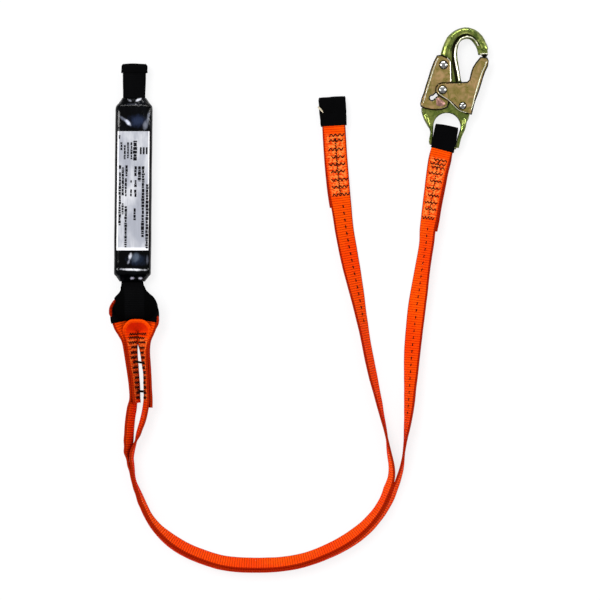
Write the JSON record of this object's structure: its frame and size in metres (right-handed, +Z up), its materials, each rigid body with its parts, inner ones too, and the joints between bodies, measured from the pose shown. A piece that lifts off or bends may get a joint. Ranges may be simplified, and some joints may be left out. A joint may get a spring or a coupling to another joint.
{
  "type": "shock absorbing lanyard",
  "caption": "Webbing safety lanyard with a film-covered tear absorber, a double-locking snap hook on one leg and a plain sewn loop on the other.",
  "frame": {"origin": "centre of the laid-out lanyard's bounding box, on the table it lies on", "axes": "+Z up from the table, +Y from the bend of the legs towards the snap hook and the harness loop, +X from the absorber towards the snap hook"},
  "size_m": [0.4084, 0.5892, 0.0324],
  "materials": {
    "webbing": "ribbed polyester webbing, bright orange",
    "black_fabric": "matt black nylon webbing and tube",
    "tear_webbing": "undyed tear webbing",
    "thread": "waxed dark thread",
    "film": "shrunk film, glossy",
    "label": "satin silver-grey label stock",
    "forging": "yellow zinc plated forging",
    "plate": "yellow zinc plated pressed plate",
    "rivet": "bright zinc",
    "spring": "spring steel"
  },
  "bodies": {
    "absorber": {"absorber_film_cover": "film", "absorber_label": "label", "tear_webbing": "tear_webbing", "backup_strap": "tear_webbing", "harness_loop_tails": "black_fabric", "harness_loop_stitching": "thread", "lower_loop_webbing": "black_fabric", "lower_loop_stitching": "thread"},
    "harness_loop": {"harness_loop_webbing": "black_fabric", "harness_loop_wear_sleeve": "black_fabric"},
    "yoke": {"interlink_wear_sleeve": "black_fabric", "leg_a_lower_webbing": "webbing", "leg_b_lower_webbing": "webbing", "yoke_left_stitching": "thread", "yoke_right_stitching": "thread"},
    "leg_a": {"leg_a_upper_webbing": "webbing", "hook_end_wear_sleeve": "black_fabric", "hook_end_stitching": "thread"},
    "leg_b": {"leg_b_upper_webbing": "webbing", "free_end_wear_sleeve": "black_fabric", "free_end_stitching": "thread"},
    "hook": {"hook_body": "forging", "gate_rivet": "rivet", "lever_rivet": "rivet", "gate_spring": "spring", "lever_spring": "spring"},
    "gate": {"gate": "plate", "lock_pin_rivet": "rivet"},
    "lever": {"lock_lever": "plate"}
  },
  "joints": [
    {"name": "harness_loop_flex", "type": "hinge", "parent": "absorber", "child": "harness_loop", "pos_m": [-0.1777, 0.22062, 0.0112], "axis": [1, 0, 0], "range_deg": [-50, 50]},
    {"name": "yoke_swing", "type": "hinge", "parent": "absorber", "child": "yoke", "pos_m": [-0.17705, -0.00888, 0.0112], "axis": [0, 0, 1], "range_deg": [-6, 6]},
    {"name": "leg_a_flex", "type": "hinge", "parent": "yoke", "child": "leg_a", "pos_m": [0.11347, -0.1644, 0.0125], "axis": [0, 0, 1], "range_deg": [-25, 6]},
    {"name": "leg_b_flex", "type": "hinge", "parent": "yoke", "child": "leg_b", "pos_m": [0.09555, -0.15144, 0.0125], "axis": [0, 0, 1], "range_deg": [-6, 25]},
    {"name": "hook_tilt", "type": "hinge", "parent": "leg_a", "child": "hook", "pos_m": [0.15667, 0.16954, 0.0112], "axis": [0.9839, -0.179, 0], "range_deg": [-75, 75]},
    {"name": "gate_swing", "type": "hinge", "parent": "hook", "child": "gate", "pos_m": [0.17687, 0.20982, 0.0112], "axis": [0, 0, 1], "range_deg": [0, 24], "stiffness_Nm_per_rad": 0.01},
    {"name": "lever_press", "type": "hinge", "parent": "hook", "child": "lever", "pos_m": [0.15635, 0.2541, 0.0112], "axis": [0, 0, 1], "range_deg": [0, 8.9]}
  ],
  "couplings": [
    {"joint": "lever_press", "follows": "gate_swing", "ratio": 0.37}
  ]
}
